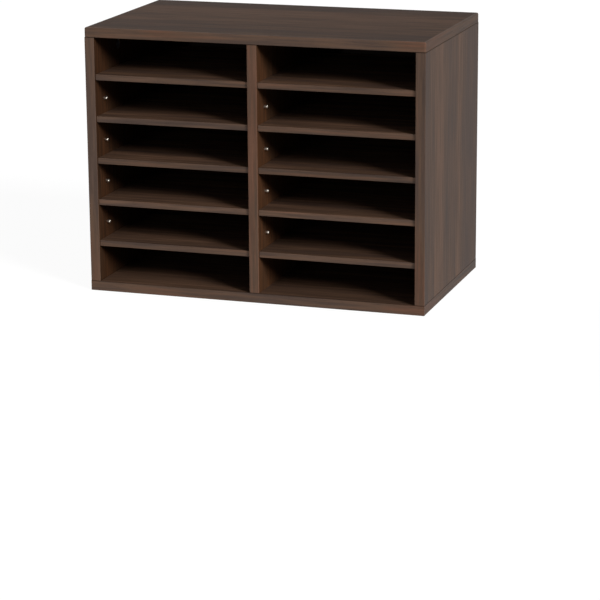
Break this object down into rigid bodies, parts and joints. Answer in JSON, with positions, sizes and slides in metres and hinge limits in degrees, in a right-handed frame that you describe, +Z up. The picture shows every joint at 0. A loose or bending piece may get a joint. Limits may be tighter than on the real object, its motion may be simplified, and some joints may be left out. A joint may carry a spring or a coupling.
{
  "type": "literature organizer",
  "caption": "Open desktop literature organizer in walnut finish board: two columns of flat compartments with removable shelves on steel pins.",
  "frame": {"origin": "centre of the underside of the case", "axes": "+X to the right seen from the front, +Y to the back, +Z up; the open front faces -Y"},
  "size_m": [0.53, 0.305, 0.406],
  "materials": {
    "walnut_laminate": "satin walnut woodgrain laminate on particleboard",
    "walnut_edge_band": "satin walnut woodgrain plastic edge band",
    "dark_hardboard": "smooth dark faced hardboard",
    "nickel_plated_pin": "nickel plated steel",
    "zinc_cam": "die cast zinc",
    "zinc_plated_steel": "bright zinc plated steel",
    "beech": "bare beech"
  },
  "bodies": {
    "case": {"top_panel": "walnut_laminate", "bottom_panel": "walnut_laminate", "left_side_panel": "walnut_laminate", "right_side_panel": "walnut_laminate", "centre_divider": "walnut_laminate", "back_panel": "dark_hardboard", "top_front_band": "walnut_edge_band", "top_rear_band": "walnut_edge_band", "top_left_band": "walnut_edge_band", "top_right_band": "walnut_edge_band", "bottom_front_band": "walnut_edge_band", "bottom_rear_band": "walnut_edge_band", "bottom_left_band": "walnut_edge_band", "bottom_right_band": "walnut_edge_band", "left_side_front_band": "walnut_edge_band", "left_side_rear_band": "walnut_edge_band", "right_side_front_band": "walnut_edge_band", "right_side_rear_band": "walnut_edge_band", "divider_front_band": "walnut_edge_band", "left_side_shelf_pins": "nickel_plated_pin", "divider_left_shelf_pins": "nickel_plated_pin", "divider_right_shelf_pins": "nickel_plated_pin", "right_side_shelf_pins": "nickel_plated_pin", "cam_locks": "zinc_cam", "cam_bolts": "zinc_plated_steel", "wood_dowels": "beech", "connector_screws": "zinc_plated_steel", "back_screws": "zinc_plated_steel"},
    "left_shelf_1": {"left_shelf_1": "walnut_laminate", "left_shelf_1_band": "walnut_edge_band"},
    "left_shelf_2": {"left_shelf_2": "walnut_laminate", "left_shelf_2_band": "walnut_edge_band"},
    "left_shelf_3": {"left_shelf_3": "walnut_laminate", "left_shelf_3_band": "walnut_edge_band"},
    "left_shelf_4": {"left_shelf_4": "walnut_laminate", "left_shelf_4_band": "walnut_edge_band"},
    "left_shelf_5": {"left_shelf_5": "walnut_laminate", "left_shelf_5_band": "walnut_edge_band"},
    "right_shelf_1": {"right_shelf_1": "walnut_laminate", "right_shelf_1_band": "walnut_edge_band"},
    "right_shelf_2": {"right_shelf_2": "walnut_laminate", "right_shelf_2_band": "walnut_edge_band"},
    "right_shelf_3": {"right_shelf_3": "walnut_laminate", "right_shelf_3_band": "walnut_edge_band"},
    "right_shelf_4": {"right_shelf_4": "walnut_laminate", "right_shelf_4_band": "walnut_edge_band"},
    "right_shelf_5": {"right_shelf_5": "walnut_laminate", "right_shelf_5_band": "walnut_edge_band"}
  },
  "joints": [
    {"name": "left_shelf_1_slide", "type": "slide", "parent": "case", "child": "left_shelf_1", "axis": [0, -1, 0], "range_m": [0, 0.31]},
    {"name": "left_shelf_2_slide", "type": "slide", "parent": "case", "child": "left_shelf_2", "axis": [0, -1, 0], "range_m": [0, 0.31]},
    {"name": "left_shelf_3_slide", "type": "slide", "parent": "case", "child": "left_shelf_3", "axis": [0, -1, 0], "range_m": [0, 0.31]},
    {"name": "left_shelf_4_slide", "type": "slide", "parent": "case", "child": "left_shelf_4", "axis": [0, -1, 0], "range_m": [0, 0.31]},
    {"name": "left_shelf_5_slide", "type": "slide", "parent": "case", "child": "left_shelf_5", "axis": [0, -1, 0], "range_m": [0, 0.31]},
    {"name": "right_shelf_1_slide", "type": "slide", "parent": "case", "child": "right_shelf_1", "axis": [0, -1, 0], "range_m": [0, 0.31]},
    {"name": "right_shelf_2_slide", "type": "slide", "parent": "case", "child": "right_shelf_2", "axis": [0, -1, 0], "range_m": [0, 0.31]},
    {"name": "right_shelf_3_slide", "type": "slide", "parent": "case", "child": "right_shelf_3", "axis": [0, -1, 0], "range_m": [0, 0.31]},
    {"name": "right_shelf_4_slide", "type": "slide", "parent": "case", "child": "right_shelf_4", "axis": [0, -1, 0], "range_m": [0, 0.31]},
    {"name": "right_shelf_5_slide", "type": "slide", "parent": "case", "child": "right_shelf_5", "axis": [0, -1, 0], "range_m": [0, 0.31]}
  ]
}
